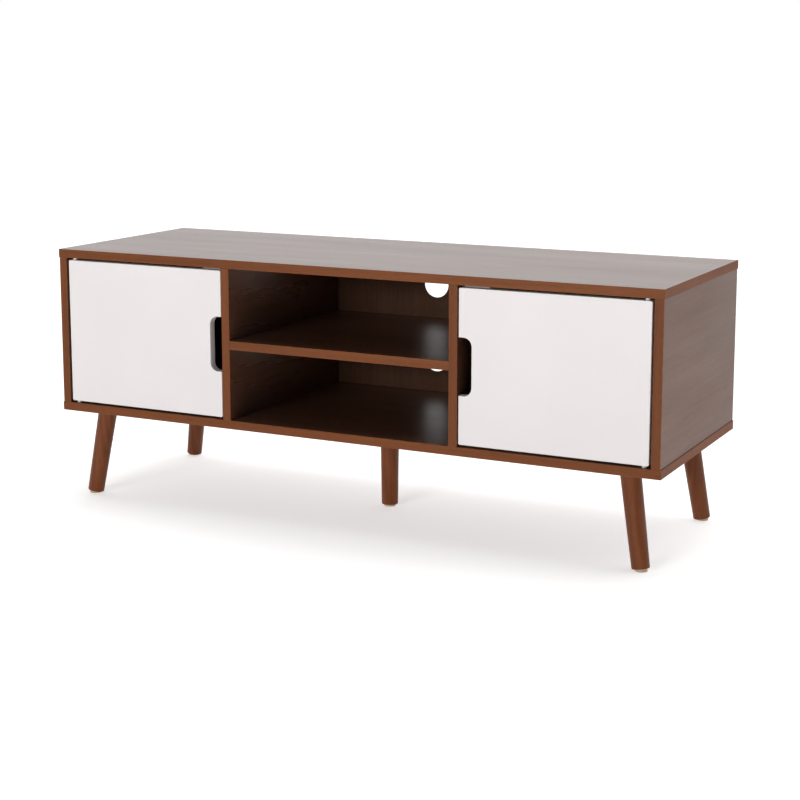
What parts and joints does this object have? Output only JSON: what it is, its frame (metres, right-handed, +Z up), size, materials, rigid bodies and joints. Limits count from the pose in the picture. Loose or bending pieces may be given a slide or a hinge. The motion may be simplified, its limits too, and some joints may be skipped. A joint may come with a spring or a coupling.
{
  "type": "tv stand with doors",
  "caption": "Low walnut-look TV stand: an open shelved bay between white hinged doors with finger notches, on splayed turned legs.",
  "frame": {"origin": "on the floor, under the middle of the case", "axes": "+X along the width, -Y towards the front with the doors, +Z up"},
  "size_m": [1.2, 0.42, 0.48],
  "materials": {
    "walnut_laminate": "satin walnut-print laminate on chipboard",
    "walnut_edge_band": "satin reddish walnut edge band",
    "hardboard_back": "brown printed hardboard",
    "white_lacquer_door": "satin white lacquer on fibreboard",
    "zinc_steel": "bright zinc plate",
    "white_nylon": "moulded white nylon",
    "grey_plastic": "moulded pale grey plastic",
    "ferrite_magnet": "sintered ferrite, matt",
    "stained_leg_wood": "stained and lacquered hardwood",
    "black_steel_plate": "black powder coat",
    "cream_nylon": "moulded cream nylon",
    "zinc_diecast": "die-cast zinc, tumbled",
    "beech_dowel": "plain fluted beech"
  },
  "bodies": {
    "cabinet": {"top_panel": "walnut_laminate", "bottom_panel": "walnut_laminate", "left_side_panel": "walnut_laminate", "right_side_panel": "walnut_laminate", "left_divider": "walnut_laminate", "right_divider": "walnut_laminate", "center_shelf": "walnut_laminate", "back_panel": "hardboard_back", "top_edge_band": "walnut_edge_band", "bottom_edge_band": "walnut_edge_band", "left_side_edge_band": "walnut_edge_band", "right_side_edge_band": "walnut_edge_band", "left_divider_edge_band": "walnut_edge_band", "right_divider_edge_band": "walnut_edge_band", "shelf_edge_band": "walnut_edge_band", "pivot_bushes": "white_nylon", "left_catch_housing": "grey_plastic", "right_catch_housing": "grey_plastic", "left_catch_poles": "zinc_steel", "right_catch_poles": "zinc_steel", "left_catch_magnet": "ferrite_magnet", "right_catch_magnet": "ferrite_magnet", "catch_screws": "zinc_steel", "front_left_leg": "stained_leg_wood", "front_right_leg": "stained_leg_wood", "back_left_leg": "stained_leg_wood", "back_right_leg": "stained_leg_wood", "center_leg": "stained_leg_wood", "front_left_leg_plate": "black_steel_plate", "front_right_leg_plate": "black_steel_plate", "back_left_leg_plate": "black_steel_plate", "back_right_leg_plate": "black_steel_plate", "center_leg_plate": "black_steel_plate", "leg_bolts": "zinc_steel", "leg_glides": "cream_nylon", "leg_plate_screws": "zinc_steel", "cam_locks": "zinc_diecast", "cam_bolts": "zinc_steel", "wood_dowels": "beech_dowel", "back_panel_screws": "zinc_steel"},
    "left_door": {"left_door": "white_lacquer_door", "left_upper_pivot_pin": "zinc_steel", "left_lower_pivot_pin": "zinc_steel", "left_upper_spacer": "white_nylon", "left_lower_spacer": "white_nylon", "left_strike_plate": "zinc_steel", "left_strike_screw": "zinc_steel"},
    "right_door": {"right_door": "white_lacquer_door", "right_upper_pivot_pin": "zinc_steel", "right_lower_pivot_pin": "zinc_steel", "right_upper_spacer": "white_nylon", "right_lower_spacer": "white_nylon", "right_strike_plate": "zinc_steel", "right_strike_screw": "zinc_steel"}
  },
  "joints": [
    {"name": "left_door_hinge", "type": "hinge", "parent": "cabinet", "child": "left_door", "pos_m": [-0.5685, -0.2005, 0.324], "axis": [0, 0, -1], "range_deg": [0, 110]},
    {"name": "right_door_hinge", "type": "hinge", "parent": "cabinet", "child": "right_door", "pos_m": [0.5685, -0.2005, 0.324], "axis": [0, 0, 1], "range_deg": [0, 110]}
  ]
}
